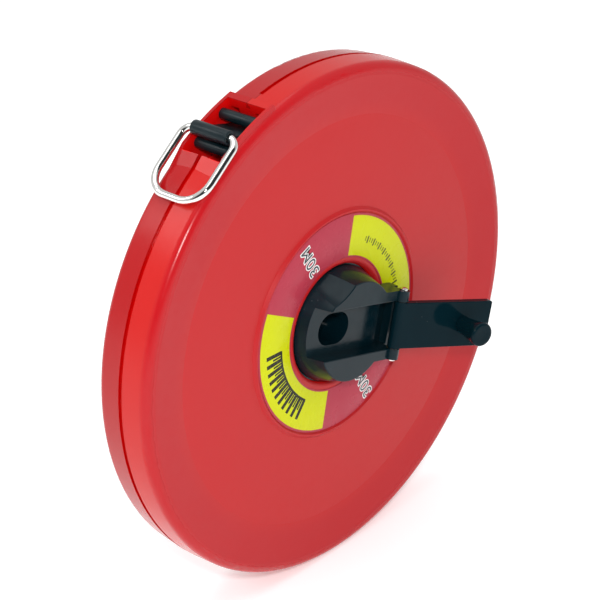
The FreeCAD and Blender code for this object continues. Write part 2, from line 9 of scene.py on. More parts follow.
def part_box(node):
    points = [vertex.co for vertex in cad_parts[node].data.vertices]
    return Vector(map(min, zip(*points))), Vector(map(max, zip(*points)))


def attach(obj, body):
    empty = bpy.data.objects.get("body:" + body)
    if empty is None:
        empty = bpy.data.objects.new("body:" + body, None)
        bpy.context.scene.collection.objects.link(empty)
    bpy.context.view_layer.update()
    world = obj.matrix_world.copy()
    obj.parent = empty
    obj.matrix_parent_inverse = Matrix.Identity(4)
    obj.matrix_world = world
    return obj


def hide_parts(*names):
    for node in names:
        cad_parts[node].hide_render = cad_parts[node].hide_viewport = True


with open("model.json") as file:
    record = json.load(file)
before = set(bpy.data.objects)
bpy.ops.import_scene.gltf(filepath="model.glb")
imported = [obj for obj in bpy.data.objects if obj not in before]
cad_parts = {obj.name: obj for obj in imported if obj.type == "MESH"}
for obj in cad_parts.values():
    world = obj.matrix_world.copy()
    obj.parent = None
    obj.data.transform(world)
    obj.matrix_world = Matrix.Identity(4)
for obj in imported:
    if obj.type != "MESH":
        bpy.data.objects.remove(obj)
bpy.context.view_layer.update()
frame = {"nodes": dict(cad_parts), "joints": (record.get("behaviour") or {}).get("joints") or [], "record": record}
nodes = frame["nodes"]
joints = {joint["name"]: joint for joint in frame["joints"]}
mounts = {mount["name"]: mount for mount in frame["record"]["mounts"]}

# ---------------------------------------------------------------- studio and table
# The tape stands on its rim on a lit white table, in a white tent that is open in front of the reel.
# A softbox hangs overhead, a panel stands behind on the left and a small flash sits at the lens.

scene = bpy.context.scene
scene.view_settings.view_transform = "Standard"

rim_low, rim_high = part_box("front_shell")
joint_plane = rim_high.y
reel_middle = Vector((0, joint_plane, 0))

camera_right = Vector((0.6730, -0.7397, 0.0)).normalized()
camera_back = Vector((-0.6637, -0.6039, 0.4415)).normalized()
camera_up = camera_back.cross(camera_right)
camera_distance = 0.4971
camera_spot = reel_middle + camera_back * camera_distance - camera_right * 0.00519 + camera_up * 0.00460
lens = bpy.data.cameras.new("long_lens")
lens.lens = 102.38
lens.sensor_width = 36.0
lens.clip_start = 0.01
camera = bpy.data.objects.new("camera", lens)
camera_turn = Matrix((camera_right, camera_up, camera_back)).transposed().to_4x4()
camera.matrix_world = Matrix.Translation(camera_spot) @ camera_turn
scene.collection.objects.link(camera)
scene.camera = camera


def softbox(name, spot, size, watts):
    """A rectangular panel light that faces the reel."""
    panel = bpy.data.lights.new(name, "AREA")
    panel.shape = "RECTANGLE"
    panel.size, panel.size_y = size
    panel.energy = watts
    lamp = bpy.data.objects.new(name, panel)
    lamp.location = spot
    lamp.rotation_euler = (reel_middle - Vector(spot)).to_track_quat("-Z", "Y").to_euler()
    scene.collection.objects.link(lamp)


softbox("overhead_softbox", (-0.10, 0.05, 0.80), (0.9, 0.7), 2.4)
softbox("rear_left_panel", (-0.58, 0.66, 0.65), (0.35, 0.35), 1.3)
softbox("lens_side_flash", camera_spot + camera_up * 0.05, (0.04, 0.04), 1.1)


class Socket:
    """An output socket. Arithmetic on it adds Math nodes to its tree."""

    def __init__(self, maker, socket):
        self.maker = maker
        self.socket = socket

    def __add__(self, other):
        return self.maker.maths("ADD", self, other)

    def __radd__(self, other):
        return self.maker.maths("ADD", other, self)

    def __sub__(self, other):
        return self.maker.maths("SUBTRACT", self, other)

    def __rsub__(self, other):
        return self.maker.maths("SUBTRACT", other, self)

    def __mul__(self, other):
        return self.maker.maths("MULTIPLY", self, other)

    def __rmul__(self, other):
        return self.maker.maths("MULTIPLY", other, self)

    def __truediv__(self, other):
        return self.maker.maths("DIVIDE", self, other)

    def __gt__(self, other):
        return self.maker.maths("GREATER_THAN", self, other)

    def __lt__(self, other):
        return self.maker.maths("LESS_THAN", self, other)

    def __abs__(self):
        return self.maker.maths("ABSOLUTE", self)

    def __mod__(self, other):
        return self.maker.maths("FLOORED_MODULO", self, other)


class Tree:
    """A node tree to which every node is added by one method."""

    def __init__(self, tree):
        self.tree = tree

    def link(self, socket, value):
        if isinstance(value, Socket):
            self.tree.links.new(value.socket, socket)
        else:
            socket.default_value = value

    def node(self, kind, settings, inputs, output=0):
        """Add one node: its settings first, then the values or links of its sockets."""
        made = self.tree.nodes.new("ShaderNode" + kind)
        for name, value in settings.items():
            setattr(made, name, value)
        for name, value in inputs.items():
            self.link(made.inputs[name], value)
        return Socket(self, made.outputs[output])

    def maths(self, operation, *values):
        return self.node("Math", {"operation": operation}, dict(enumerate(values)))

    def blend(self, factor, first, second):
        """A colour that goes from the first to the second as the factor goes from 0 to 1."""
        return self.node("Mix", {"data_type": "RGBA"}, {0: factor, 6: first, 7: second}, 2)

    def remap(self, value, low, high, to_low=0.0, to_high=1.0):
        """A smooth step from one value to another as the input goes from low to high."""
        inputs = {"Value": value, 1: low, 2: high, 3: to_low, 4: to_high}
        return self.node("MapRange", {"interpolation_type": "SMOOTHSTEP"}, inputs)

    def dot(self, place, direction):
        """How far a place lies along a direction."""
        sockets = {0: place, 1: direction}
        return self.node("VectorMath", {"operation": "DOT_PRODUCT"}, sockets, "Value")


class Finish(Tree):
    """A material on one Principled shader, with the fixed sockets given as a dictionary."""

    def __init__(self, name, fixed):
        self.material = bpy.data.materials.new(name)
        self.material.use_nodes = True
        super().__init__(self.material.node_tree)
        self.shader = self.tree.nodes["Principled BSDF"]
        self.feed(fixed)
        self.place = self.node("TexCoord", {}, {}, "Object")

    def feed(self, sockets):
        for name, value in sockets.items():
            self.link(self.shader.inputs[name], value)

    def noise(self, scale, detail=2.0):
        inputs = {"Vector": self.place, "Scale": scale, "Detail": detail}
        return self.node("TexNoise", {}, inputs)

    def bump(self, height, depth, under=None):
        """Relief of the given depth in metres, on top of another relief where one is given."""
        inputs = {"Height": height, "Distance": depth}
        if under:
            inputs["Normal"] = under
        return self.node("Bump", {}, inputs)

    def along(self, direction):
        return self.dot(self.place, direction)

    def radius(self):
        """Distance from the reel's axis."""
        x = self.along((1, 0, 0))
        z = self.along((0, 0, 1))
        return self.maths("SQRT", x * x + z * z)

    def angle(self):
        """Angle in radians about the reel's axis, from X towards Z."""
        return self.maths("ARCTAN2", self.along((0, 0, 1)), self.along((1, 0, 0)))


tent_brightness = 0.69
opening_direction = Vector((-0.50, -0.84, 0.22)).normalized()
room = bpy.data.worlds.new("white_tent")
room.use_nodes = True
scene.world = room
tent = Tree(room.node_tree)
gaze = tent.node("TexCoord", {}, {}, "Generated")
ray = tent.node("LightPath", {}, {}, "Is Glossy Ray")
opening = tent.remap(tent.dot(gaze, opening_direction), 0.30, 0.72) * ray
lining = tent.blend(opening, (1.0, 1.0, 1.0, 1.0), (0.05, 0.055, 0.06, 1.0))
tent.link(room.node_tree.nodes["Background"].inputs["Color"], lining)
room.node_tree.nodes["Background"].inputs["Strength"].default_value = tent_brightness


def new_piece(name, shape, sharp_deg=35.0):
    """A smooth-shaded object made from a bmesh, which is used up."""
    mesh = bpy.data.meshes.new(name)
    shape.to_mesh(mesh)
    shape.free()
    mesh.shade_smooth()
    mesh.set_sharp_from_angle(angle=math.radians(sharp_deg))
    piece = bpy.data.objects.new(name, mesh)
    scene.collection.objects.link(piece)
    return piece


board = bmesh.new()
bmesh.ops.create_grid(board, x_segments=1, y_segments=1, size=6.0)
bmesh.ops.translate(board, verts=board.verts, vec=(0, 0, rim_low.z - 0.0001))
table_top = new_piece("table_top", board)
paint = Finish("lit_table_acrylic", {"Specular IOR Level": 0.1, "Emission Strength": 0.27,
                                     "Emission Color": (1, 1, 1, 1)})
grain = paint.noise(9.0, 4.0)
paint.feed({"Base Color": paint.blend(grain, (0.940, 0.945, 0.950, 1), (0.950, 0.955, 0.960, 1)),
            "Roughness": paint.remap(grain, 0.3, 0.7, 0.5, 0.65)})
table_top.data.materials.append(paint.material)

# ---------------------------------------------------------------- case halves
# Two dished shells of red ABS, injection moulded with a finely etched face and a smoother rim.
# The rear half carries the axle boss, and four screws from the back hold the halves together.

face_red = (0.440, 0.0070, 0.0110, 1)
# Painted light: the front half of the rim is painted a lighter, oranger red than the rear half.
lit_front_rim_red = (0.520, 0.0120, 0.0100, 1)
shaded_rear_rim_red = (0.390, 0.0050, 0.0070, 1)
hidden_red = (0.760, 0.0010, 0.0010, 1)
# Painted shade: the seam groove round the rim is painted a darker, deeper red.
groove_shade_red = (0.480, 0.0006, 0.0006, 1)
joint_red = (0.300, 0.0010, 0.0010, 1)
scuffed_red = (0.660, 0.0600, 0.0550, 1)
etch_depth = 0.000010
rim_to_face = (0.0062, 0.0082)
fillet_to_flat = (0.0735, 0.0750)
corner_radii = (0.0766, 0.0774)
corner_levels = (0.0052, 0.0068)
inner_half = 0.00705
inner_radius = 0.0758
seam_half = 0.0007
seam_floor = 0.0764
rim_radius = 0.0774
mouth_radius = 0.0781
mouth_half = 0.00695
mouth_from = math.radians(111.2)
mouth_to = math.radians(126.0)
joint_half = 0.00016
joint_from = math.radians(106.0)
joint_to = math.radians(111.4)


def band(value, low, high):
    """1 where a value lies between two limits."""
    return (value > low) * (value < high)


def case_plastic():
    """Red ABS: a shade for the face, for each rim and for the inside, with rubbed corners. The front rim half is
    painted lighter than the rear half as painted light, and the seam groove is painted darker as painted shade.
    """
    red = Finish("case_red_abs", {"Specular IOR Level": 0.27})
    radius = red.radius()
    front = joint_plane - red.along((0, 1, 0))
    off_joint = abs(front)
    on_face = red.remap(front, *rim_to_face)
    flat_edge = red.remap(radius, *fillet_to_flat)
    flow = red.noise(16.0, 3.0)
    mottle = red.noise(420.0, 3.0)
    # Painted light: the rim's front half takes the lighter red and the rear half the darker one.
    rim = red.blend(red.remap(front, -0.0003, 0.0003), shaded_rear_rim_red, lit_front_rim_red)
    colour = red.blend(on_face, rim, face_red)
    cloudy = red.remap(flow, 0.35, 0.75, 0.0, 0.10) + red.remap(mottle, 0.6, 0.85, 0.0, 0.10)
    colour = red.blend(cloudy, colour, shaded_rear_rim_red)
    rubbed = red.noise(130.0, 5.0)
    corner = red.remap(radius, *corner_radii) * red.remap(off_joint, *corner_levels)
    scuff = corner * red.remap(rubbed, 0.60, 0.80, 0.0, 0.30)
    colour = red.blend(scuff, colour, scuffed_red)
    angle = red.angle()
    mouth = (off_joint < mouth_half) * band(angle, mouth_from, mouth_to)
    inside = (off_joint < inner_half) * (radius < inner_radius)
    inside = red.maths("MAXIMUM", inside, mouth * (radius < mouth_radius))
    colour = red.blend(inside, colour, hidden_red)
    # Painted shade: a darker red is painted in the seam groove.
    painted_groove_shade = (off_joint < seam_half) * band(radius, seam_floor, rim_radius)
    colour = red.blend(painted_groove_shade, colour, groove_shade_red)
    joint_line = (off_joint < joint_half) * band(angle, joint_from, joint_to) * (radius > rim_radius)
    colour = red.blend(joint_line, colour, joint_red)
    etch = red.noise(2600.0, 2.0)
    wave = red.noise(55.0, 1.0)
    gloss = 0.36 - flat_edge * 0.18 + inside * 0.3 + scuff * 0.3
    red.feed({
        "Base Color": colour,
        "Roughness": gloss + red.remap(mottle, 0.3, 0.7, 0.0, 0.06),
        "Normal": red.bump(wave, 0.00012, red.bump(etch, etch_depth)),
    })
    return red.material


def wear(finish, *names):
    """Give CAD nodes their finish."""
    for name in names:
        nodes[name].data.materials.clear()
        nodes[name].data.materials.append(finish)


case_red = case_plastic()
wear(case_red, "front_shell", "rear_shell")

# ---------------------------------------------------------------- face label
# A ring of clear film, printed in red and yellow on its back and glued inside the raised border.
# Each yellow field carries a plain scale. The length marks are layers of ink of their own.


def rgb(red, green, blue):
    """A colour from its screen values, 0 to 255."""
    linear = [((part / 255 + 0.055) / 1.055) ** 2.4 for part in (red, green, blue)]
    return (*linear, 1.0)


label_low, label_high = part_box("front_label")
film_outer = label_high.x
film_inner = 0.0202
film_back = label_high.y
film_front = label_low.y
gap_angle = math.radians(116.5)
gap_half_angle = math.radians(38.0)
label_yellow = (0.560, 0.605, 0.0008, 1)
deeper_yellow = (0.500, 0.530, 0.0010, 1)
label_red = (0.412, 0.040, 0.066, 1)
deeper_red = (0.360, 0.032, 0.054, 1)
label_ink = rgb(34, 34, 26)


def film_ring():
    """The label's ring, with the edges of its printed side eased."""
    film = bmesh.new()
    bmesh.ops.create_circle(film, cap_ends=False, segments=180, radius=film_outer)
    rim = film.edges[:]
    hole = bmesh.ops.extrude_edge_only(film, edges=rim)["geom"]
    inner = [part for part in hole if isinstance(part, bmesh.types.BMVert)]
    bmesh.ops.scale(film, verts=inner, vec=Vector((1, 1, 1)) * (film_inner / film_outer))
    thick = film_back - film_front
    swept = bmesh.ops.extrude_face_region(film, geom=film.faces[:])["geom"]
    raised = [part for part in swept if isinstance(part, bmesh.types.BMVert)]
    bmesh.ops.translate(film, verts=raised, vec=(0, 0, thick))
    top = [edge for edge in film.edges if all(vert.co.z > thick * 0.9 for vert in edge.verts)]
    top = [edge for edge in top if len({round(vert.co.length, 4) for vert in edge.verts}) == 1]
    bmesh.ops.bevel(film, geom=top, offset=thick * 0.4, segments=2, profile=0.5,
                    affect="EDGES", material=-1)
    bmesh.ops.recalc_face_normals(film, faces=film.faces)
    bmesh.ops.transform(film, matrix=upright_to_front(film_back), verts=film.verts)
    return film


def upright_to_front(level):
    """Turns a shape drawn with Z up so that its top faces the crank side, from a Y level."""
    return Matrix.Translation((0, level, 0)) @ Matrix.Rotation(math.radians(90), 4, "X")


def label_print():
    """Yellow fields on red, with two rows of bars on the left one and a fine scale on the right."""
    film = Finish("printed_label_film", {"Specular IOR Level": 0.16})
    radius = film.radius()
    x = film.along((1, 0, 0))
    z = film.along((0, 0, 1))
    across = abs(film.along((math.sin(gap_angle), 0, -math.cos(gap_angle)))) / radius
    yellow = band(radius, film_inner + 0.0005, film_outer - 0.0007)
    yellow = yellow * (across > math.sin(gap_half_angle))
    around = (film.angle() * (180 / math.pi) + 360.0) % 360.0

    def ticks(first, last, step, width, low, high):
        """Radial bars of a width in millimetres, at every step of degrees."""
        offset = abs((around - first + step / 2) % step - step / 2)
        bar = offset * radius < width / 1000 * 0.5 * 180 / math.pi
        field = band(around, first - step * 0.3, last + step * 0.3)
        return bar * field * band(radius, low / 1000, high / 1000)

    marks = (
        ticks(180.0, 233.0, 5.3, 1.25, 24.0, 30.0),
        ticks(182.65, 230.35, 5.3, 0.60, 24.0, 27.4),
        band(around, 178.8, 234.2) * band(radius, 0.0236, 0.0243),
        ticks(10.0, 64.0, 2.4, 0.34, 25.3, 26.7),
        ticks(10.0, 64.0, 7.2, 0.55, 24.8, 27.0),
    )
    ink = marks[0]
    for mark in marks[1:]:
        ink = film.maths("MAXIMUM", ink, mark)
    bleed = film.noise(3500.0, 2.0)
    tone = film.noise(60.0, 3.0)
    field = film.blend(film.remap(tone, 0.3, 0.7, 0.0, 0.16), label_yellow, deeper_yellow)
    ground = film.blend(film.remap(tone, 0.3, 0.7, 0.0, 0.3), label_red, deeper_red)
    colour = film.blend(yellow, ground, field)
    colour = film.blend(ink * film.remap(bleed, 0.2, 0.45, 0.75, 1.0), colour, label_ink)
    handled = film.noise(220.0, 5.0)
    film.feed({
        "Base Color": colour,
        "Roughness": film.remap(handled, 0.3, 0.8, 0.20, 0.42),
        "Normal": film.bump(film.noise(90.0, 2.0), 0.00006, film.bump(bleed, 0.000003)),
    })
    return film.material


label = new_piece("printed_label", film_ring())
label.data.materials.append(label_print())
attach(label, "case")
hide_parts("front_label")

# ---------------------------------------------------------------- length marks on the label
# The blade's length in metres, screen printed on both red fields with a white outline.

mark_height = 0.0055
mark_centres = (0.0266, -0.0274)
ink_relief = 0.000015
outline_swell = 0.00031


def ink_finish(name, shade, dark):
    """Glossy screen ink that goes on slightly unevenly."""
    ink = Finish(name, {"Specular IOR Level": 0.5})
    spread = ink.noise(900.0, 4.0)
    ink.feed({"Base Color": ink.blend(ink.remap(spread, 0.35, 0.75), shade, dark),
              "Roughness": ink.remap(spread, 0.3, 0.7, 0.3, 0.45),
              "Normal": ink.bump(spread, 0.000004)})
    return ink.material


def length_mark(name, centre, swell, lift, finish):
    """The numerals as a thin layer of ink. swell widens every stroke."""
    letters = bpy.data.curves.new(name, "FONT")
    letters.body = "30M"
    letters.size = mark_height
    letters.align_x = "CENTER"
    letters.align_y = "CENTER"
    letters.space_character = 1.08
    letters.offset = swell
    letters.extrude = ink_relief
    layout = bpy.data.objects.new(name + "_layout", letters)
    flat = bpy.data.meshes.new_from_object(layout)
    bpy.data.objects.remove(layout)
    shape = bmesh.new()
    shape.from_mesh(flat)
    bpy.data.meshes.remove(flat)
    bmesh.ops.remove_doubles(shape, verts=shape.verts, dist=1e-7)
    bmesh.ops.recalc_face_normals(shape, faces=shape.faces)
    reading = Vector((math.cos(gap_angle), 0, math.sin(gap_angle)))
    tops = Vector((math.cos(gap_angle + math.pi / 2), 0, math.sin(gap_angle + math.pi / 2)))
    turn = Matrix((reading, tops, (0, -1, 0))).transposed().to_4x4()
    spot = reading * centre + Vector((0, film_front - lift, 0))
    bmesh.ops.transform(shape, matrix=Matrix.Translation(spot) @ turn, verts=shape.verts)
    mark = new_piece(name, shape)
    mark.data.materials.append(finish)
    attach(mark, "case")


outline_ink = ink_finish("outline_ink", rgb(238, 238, 236), rgb(214, 214, 214))
figure_ink = ink_finish("figure_ink", rgb(38, 52, 60), rgb(26, 38, 46))
for side, centre in zip(("upper", "lower"), mark_centres):
    length_mark("length_outline_" + side, centre, outline_swell, ink_relief, outline_ink)
    length_mark("length_figures_" + side, centre, 0.0, ink_relief * 2.6, figure_ink)

# ---------------------------------------------------------------- crank hub and arm
# Black polished ABS mouldings. The hub is screwed to the reel from behind. The arm folds on a
# steel pin between two lugs, down into the hub's channel, with its knob in the round-ended well.

deep_black = (0.0010, 0.0100, 0.0150, 1)
cloudy_black = (0.0018, 0.0125, 0.0180, 1)
dust_grey = (0.09, 0.10, 0.11, 1)


def crank_plastic(name, sheen, polish, haze):
    """Black plastic. sheen is its specular level, polish its least roughness, haze how it varies."""
    black = Finish(name, {"IOR": 1.52, "Specular IOR Level": sheen})
    cloud = black.noise(70.0, 4.0)
    smear = black.noise(380.0, 5.0)
    dust = black.node("TexVoronoi", {"feature": "F1"}, {"Vector": black.place, "Scale": 520.0})
    speck = (dust < 0.09) * (black.noise(90.0) > 0.62)
    colour = black.blend(black.remap(cloud, 0.3, 0.7), deep_black, cloudy_black)
    colour = black.blend(speck * 0.35, colour, dust_grey)
    black.feed({
        "Base Color": colour,
        "Roughness": polish + black.remap(smear, 0.35, 0.75, 0.0, haze) + speck * 0.3,
        "Normal": black.bump(smear, 0.0000035, black.bump(black.noise(130.0), 0.00003)),
    })
    return black.material


wear(crank_plastic("hub_black_abs", 0.22, 0.15, 0.12), "crank_hub")
wear(crank_plastic("arm_black_abs", 0.06, 0.06, 0.07), "crank_arm")

# ---------------------------------------------------------------- crank knob
# Turned from black acetal: a narrow foot, a long flare and a rounded rim round a slightly dished
# end. It turns freely on its rivet.

fold = joints["crank_fold"]
knob_joint = joints["knob_spin"]
arm_outward = Vector(knob_joint["axis"]).normalized()
knob_base = Vector(knob_joint["pos_m"])


def span(node, direction):
    """The lowest and highest place of a CAD node along a direction."""
    places = [vert.co.dot(direction) for vert in nodes[node].data.vertices]
    return min(places), max(places)


def reach(node, base, direction):
    """The lowest and highest distance of a CAD node from a base point, along a direction."""
    low, high = span(node, direction)
    zero = base.dot(direction)
    return low - zero, high - zero


def turned(outline, base, axis, steps=48, edge=0.0):
    """A turned shape from its outline of (radius, distance along the axis), edges rounded off."""
    shape = bmesh.new()
    spots = [shape.verts.new((radius, 0, along)) for radius, along in outline]
    closed = outline[0][0] > 0 and outline[-1][0] > 0
    pairs = list(zip(spots, spots[1:]))
    if closed:
        pairs.append((spots[-1], spots[0]))
    lines = [shape.edges.new(pair) for pair in pairs]
    bmesh.ops.spin(shape, geom=spots + lines, cent=(0, 0, 0), axis=(0, 0, 1),
                   angle=math.tau, steps=steps, use_merge=True)
    bmesh.ops.remove_doubles(shape, verts=shape.verts, dist=1e-7)
    bmesh.ops.recalc_face_normals(shape, faces=shape.faces)
    if edge:
        corners = [line for line in shape.edges if line.calc_face_angle(0.0) > math.radians(40)]
        bmesh.ops.bevel(shape, geom=corners, offset=edge, segments=3, profile=0.5,
                        affect="EDGES", material=-1, clamp_overlap=True)
    turn = Vector((0, 0, 1)).rotation_difference(axis).to_matrix().to_4x4()
    bmesh.ops.transform(shape, matrix=Matrix.Translation(base) @ turn, verts=shape.verts)
    return shape


knob_foot, knob_tip = reach("crank_knob", knob_base, arm_outward)
knob_length = knob_tip - knob_foot
foot_radius = 0.00265
tip_radius = 0.0037
bore_radius = 0.0013
bore_depth = 0.0075
rim_round = 0.0008
flare = [(foot_radius + (tip_radius - foot_radius) * share ** 1.6,
          knob_foot + 0.0003 + (knob_length - 0.0011) * share)
         for share in (0.0, 0.15, 0.3, 0.45, 0.6, 0.75, 0.88, 1.0)]
rounding = [(tip_radius - rim_round + rim_round * math.cos(math.radians(turn)),
             knob_tip - rim_round + rim_round * math.sin(math.radians(turn)))
            for turn in (22, 45, 68, 90)]
knob_outline = [(0, knob_foot + bore_depth), (bore_radius, knob_foot + bore_depth),
                (bore_radius, knob_foot), (foot_radius - 0.0003, knob_foot)]
knob_outline += flare + rounding + [(0.0019, knob_tip - 0.00012), (0, knob_tip - 0.0002)]
knob = new_piece("winding_knob", turned(knob_outline, knob_base, arm_outward, 64))
knob.data.materials.append(crank_plastic("knob_black_acetal", 0.09, 0.13, 0.10))
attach(knob, "knob")
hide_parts("crank_knob")

# ---------------------------------------------------------------- hinge pin and knob rivet
# Nickel-plated steel. The hinge pin is a press fit in the lugs, with both ends domed. The knob's
# rivet has its pan head behind the arm.


def plated(name, colour, dull, gloss):
    """Plated steel with fine turning marks, duller in clouds. gloss is its least roughness."""
    metal = Finish(name, {"Metallic": 1.0})
    cloud = metal.noise(240.0, 4.0)
    turning = metal.noise(2200.0, 3.0)
    metal.feed({
        "Base Color": metal.blend(metal.remap(cloud, 0.35, 0.75), colour, dull),
        "Roughness": gloss + metal.remap(cloud, 0.4, 0.8, 0.0, 0.12),
        "Normal": metal.bump(turning, 0.0000015, metal.bump(cloud, 0.000008)),
    })
    return metal.material


bright_nickel = plated("bright_nickel", (0.80, 0.79, 0.76, 1), (0.66, 0.65, 0.62, 1), 0.10)
pin_centre = Vector(fold["pos_m"])
pin_axis = Vector(fold["axis"]).normalized()
pin_half = reach("crank_hinge_pin", pin_centre, pin_axis)[1]
pin_radius = 0.00125
dome = 0.0004
pin_outline = [(0, -pin_half), (pin_radius * 0.6, -pin_half + dome * 0.25),
               (pin_radius, -pin_half + dome), (pin_radius, pin_half - dome),
               (pin_radius * 0.6, pin_half - dome * 0.25), (0, pin_half)]
pin = new_piece("hinge_pin", turned(pin_outline, pin_centre, pin_axis, 40, 0.0001))
pin.data.materials.append(bright_nickel)
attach(pin, "reel")
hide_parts("crank_hinge_pin")

rivet_low, rivet_high = reach("knob_rivet", knob_base, arm_outward)
rivet_shank = 0.00125
rivet_head = 0.00215
rivet_head_back = rivet_low + 0.0007
rivet_outline = [(0, rivet_low), (rivet_head * 0.62, rivet_low + 0.00012),
                 (rivet_head, rivet_head_back), (rivet_shank, rivet_head_back),
                 (rivet_shank, rivet_high - 0.0002), (rivet_shank * 0.8, rivet_high),
                 (0, rivet_high)]
rivet = new_piece("knob_rivet_turned", turned(rivet_outline, knob_base, arm_outward, 40, 0.0001))
rivet.data.materials.append(bright_nickel)
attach(rivet, "crank")
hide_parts("knob_rivet")

# ---------------------------------------------------------------- mouth rollers and their pins
# Two hollow black acetal rollers with rounded ends guide the blade out of the mouth. Each turns
# on a plain steel pin that is held between the case halves.

worn_black = (0.006, 0.015, 0.019, 1)
satin_shade = (0.0015, 0.0085, 0.0120, 1)


def satin_black(name, shade, roughness):
    """Black moulded plastic with fine scratches, worn greyer in clouds."""
    satin = Finish(name, {"Specular IOR Level": 0.26})
    cloud = satin.noise(200.0, 4.0)
    scratch = satin.noise(1500.0, 3.0)
    satin.feed({
        "Base Color": satin.blend(satin.remap(cloud, 0.3, 0.7), shade, worn_black),
        "Roughness": satin.remap(cloud, 0.3, 0.8, roughness, roughness + 0.14),
        "Normal": satin.bump(scratch, 0.000004, satin.bump(cloud, 0.00002)),
    })
    return satin.material


roller_black = satin_black("roller_black_acetal", satin_shade, 0.26)
zinc = plated("zinc_plate", (0.60, 0.60, 0.58, 1), (0.46, 0.46, 0.45, 1), 0.28)
along_axle = Vector((0, -1, 0))
roller_bore = 0.00086
for place in ("upper", "lower"):
    low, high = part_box("mouth_roller_" + place)
    centre = (low + high) / 2
    half = (high.y - low.y) / 2
    radius = (high.x - low.x) / 2
    tube = [(roller_bore, -half), (radius, -half), (radius, half), (roller_bore, half)]
    roller = new_piece("guide_roller_" + place, turned(tube, centre, along_axle, 48, 0.0003))
    roller.data.materials.append(roller_black)
    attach(roller, "roller_" + place)
    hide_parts("mouth_roller_" + place)

    low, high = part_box("roller_pin_" + place)
    half = (high.y - low.y) / 2
    radius = (high.x - low.x) / 2
    bar = [(0, -half), (radius, -half), (radius, half), (0, half)]
    axle = new_piece("guide_pin_" + place, turned(bar, centre, along_axle, 32, 0.0001))
    axle.data.materials.append(zinc)
    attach(axle, "case")
    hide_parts("roller_pin_" + place)

# ---------------------------------------------------------------- end ring
# Hard-drawn 2.2 mm steel wire, bent to a rounded frame and chromed. One short side runs through
# the sleeve on the tape's end, where the wire's two ends meet.

bar_centre = Vector(joints["ring_swing"]["pos_m"])
hang = (Vector(mounts["end_ring_eye"]["pos_m"]) - bar_centre).normalized()
ring_face = hang.cross(Vector((0, 1, 0)))
wire_radius = reach("end_ring", bar_centre, ring_face)[1]
ring_half = reach("end_ring", bar_centre, Vector((0, 1, 0)))[1] - wire_radius
ring_length = reach("end_ring", bar_centre, hang)[1] - wire_radius
near_bend = 0.0032
far_bend = 0.0068


def carry(shape, loop, shift, scale=1.0):
    """Extrude a loop of edges, scaled about the Z axis and shifted. Returns the new loop."""
    drawn = bmesh.ops.extrude_edge_only(shape, edges=loop)["geom"]
    moved = [part for part in drawn if isinstance(part, bmesh.types.BMVert)]
    bmesh.ops.scale(shape, verts=moved, vec=(scale, scale, 1))
    bmesh.ops.translate(shape, verts=moved, vec=shift)
    return [part for part in drawn if isinstance(part, bmesh.types.BMEdge)
            and all(vert in moved for vert in part.verts)]


def bent_wire():
    """The wire's section is drawn round the ring: straights by extrusion, bends by a spin."""
    wire = bmesh.new()
    bmesh.ops.create_circle(wire, cap_ends=False, segments=28, radius=wire_radius)
    upright = Matrix.Rotation(math.radians(90), 4, "X")
    bmesh.ops.transform(wire, matrix=upright, verts=wire.verts)
    loop = list(wire.edges)

    def straight(ring, run):
        """A straight with a short length at each end, so that the bends shade cleanly."""
        for share in (0.05, 0.90, 0.05):
            ring = carry(wire, ring, Vector(run) * share)
        return ring

    def bend(ring, centre, steps):
        verts = list({vert for line in ring for vert in line.verts})
        spun = bmesh.ops.spin(wire, geom=verts + ring, cent=centre, axis=(0, 0, 1),
                              angle=math.radians(90), steps=steps)
        return [part for part in spun["geom_last"] if isinstance(part, bmesh.types.BMEdge)]

    # Drawn flat: X down the ring from the sleeve, Y across it.
    near_half = ring_half - near_bend
    far_half = ring_half - far_bend
    side_run = ring_length - near_bend - far_bend
    far_place = ring_length - far_bend
    loop = straight(loop, (0, -near_half, 0))
    loop = bend(loop, (near_bend, -near_half, 0), 12)
    loop = straight(loop, (side_run, 0, 0))
    loop = bend(loop, (far_place, -far_half, 0), 18)
    loop = straight(loop, (0, 2 * far_half, 0))
    loop = bend(loop, (far_place, far_half, 0), 18)
    loop = straight(loop, (-side_run, 0, 0))
    loop = bend(loop, (near_bend, near_half, 0), 12)
    straight(loop, (0, -near_half, 0))
    bmesh.ops.remove_doubles(wire, verts=wire.verts, dist=1e-6)
    bmesh.ops.recalc_face_normals(wire, faces=wire.faces)
    across = Vector((0, 1, 0))
    place = Matrix((hang, across, hang.cross(across))).transposed().to_4x4()
    bmesh.ops.transform(wire, matrix=Matrix.Translation(bar_centre) @ place, verts=wire.verts)
    return wire


chrome_bright = (0.84, 0.84, 0.82, 1)
chrome_clouded = (0.74, 0.74, 0.71, 1)


def chrome_plate():
    """Bright chrome with small nicks and slow clouds."""
    chrome = Finish("ring_chrome", {"Metallic": 1.0})
    cloud = chrome.noise(160.0, 4.0)
    nick = chrome.noise(900.0, 5.0)
    chrome.feed({
        "Base Color": chrome.blend(chrome.remap(cloud, 0.4, 0.8), chrome_bright, chrome_clouded),
        "Roughness": 0.045 + chrome.remap(nick, 0.55, 0.8, 0.0, 0.22),
        "Normal": chrome.bump(cloud, 0.00012, chrome.bump(nick, 0.000010)),
    })
    return chrome.material


ring = new_piece("wire_end_ring", bent_wire(), 60.0)
ring.data.materials.append(chrome_plate())
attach(ring, "ring")
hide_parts("end_ring")

# ---------------------------------------------------------------- end sleeve
# A black tube, moulded onto the tape's leader, in which the ring's short side turns.

